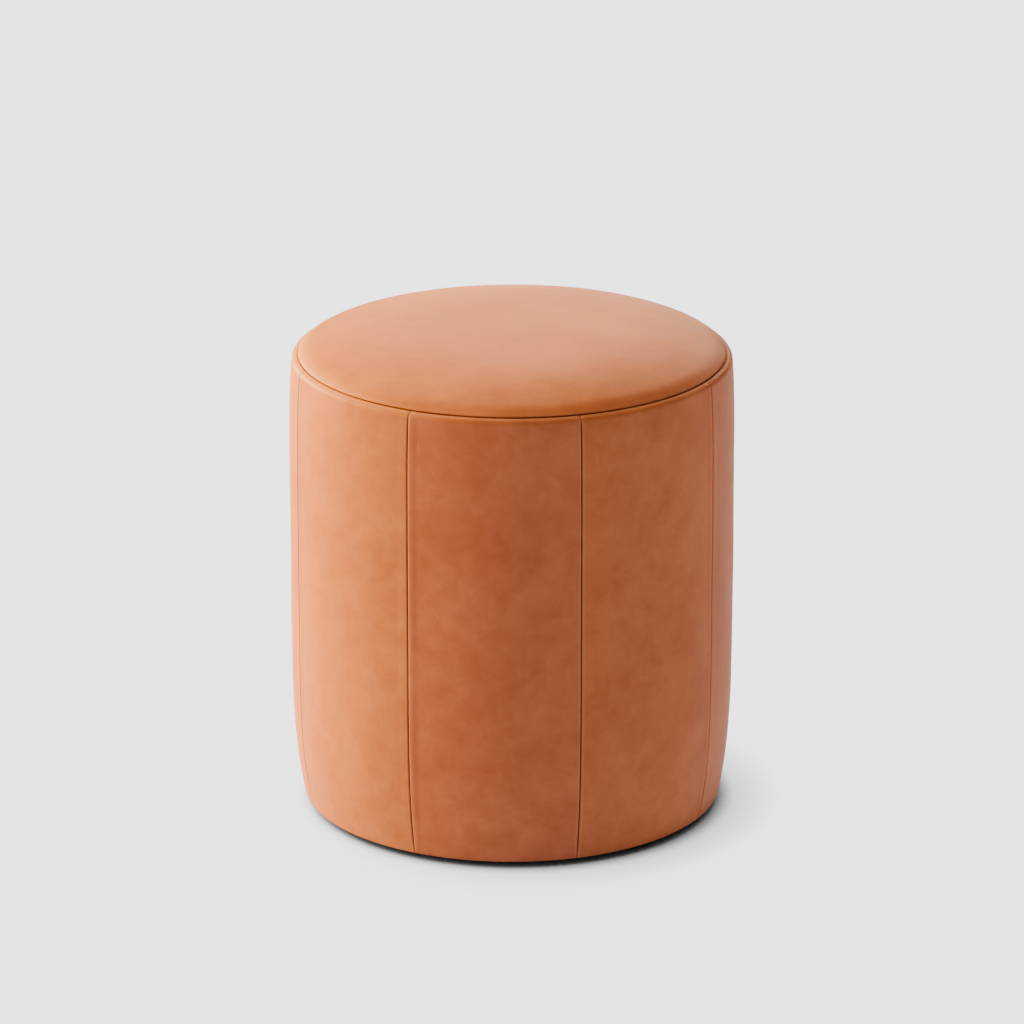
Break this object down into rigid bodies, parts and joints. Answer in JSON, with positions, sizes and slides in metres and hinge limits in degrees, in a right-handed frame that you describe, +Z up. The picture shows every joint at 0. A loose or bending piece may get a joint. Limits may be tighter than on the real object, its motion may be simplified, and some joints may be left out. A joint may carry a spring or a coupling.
{
  "type": "leather drum pouf",
  "caption": "Round upright pouf with a crowned top and a sewn leather cover of flat-seamed upright panels over foam and a hidden wooden frame, on low glides.",
  "frame": {"origin": "on the floor, under the middle of the pouf", "axes": "+Z up along the pouf's axis; -Y is the middle of the front panel; +X is to the right of someone who faces the front"},
  "size_m": [0.4068, 0.4068, 0.456],
  "materials": {
    "leather": "smooth tan full-grain leather, semi-matt",
    "thread": "bonded polyester sewing thread",
    "batting": "white polyester batting",
    "foam": "open-cell polyurethane foam",
    "plywood": "unfinished plywood",
    "pine": "planed softwood",
    "steel": "zinc-plated steel",
    "nylon": "moulded nylon",
    "dust_cloth": "black non-woven dust cloth"
  },
  "bodies": {
    "root": {"side_panel_1": "leather", "side_panel_2": "leather", "side_panel_3": "leather", "side_panel_4": "leather", "side_panel_5": "leather", "side_panel_6": "leather", "side_panel_7": "leather", "side_panel_8": "leather", "top_panel": "leather", "side_seam_thread_1": "thread", "side_seam_thread_2": "thread", "side_seam_thread_3": "thread", "side_seam_thread_4": "thread", "side_seam_thread_5": "thread", "side_seam_thread_6": "thread", "side_seam_thread_7": "thread", "side_seam_thread_8": "thread", "top_seam_thread": "thread", "batting_cap": "batting", "top_foam": "foam", "side_foam": "foam", "side_shell": "plywood", "base_board": "plywood", "top_board": "plywood", "post_1": "pine", "post_2": "pine", "post_3": "pine", "post_4": "pine", "post_5": "pine", "post_6": "pine", "top_screw_1": "steel", "top_screw_2": "steel", "top_screw_3": "steel", "top_screw_4": "steel", "top_screw_5": "steel", "top_screw_6": "steel", "base_screw_1": "steel", "base_screw_2": "steel", "base_screw_3": "steel", "base_screw_4": "steel", "base_screw_5": "steel", "base_screw_6": "steel", "glide_1": "nylon", "glide_2": "nylon", "glide_3": "nylon", "glide_4": "nylon", "glide_nail_1": "steel", "glide_nail_2": "steel", "glide_nail_3": "steel", "glide_nail_4": "steel", "dust_cover": "dust_cloth"}
  },
  "joints": []
}
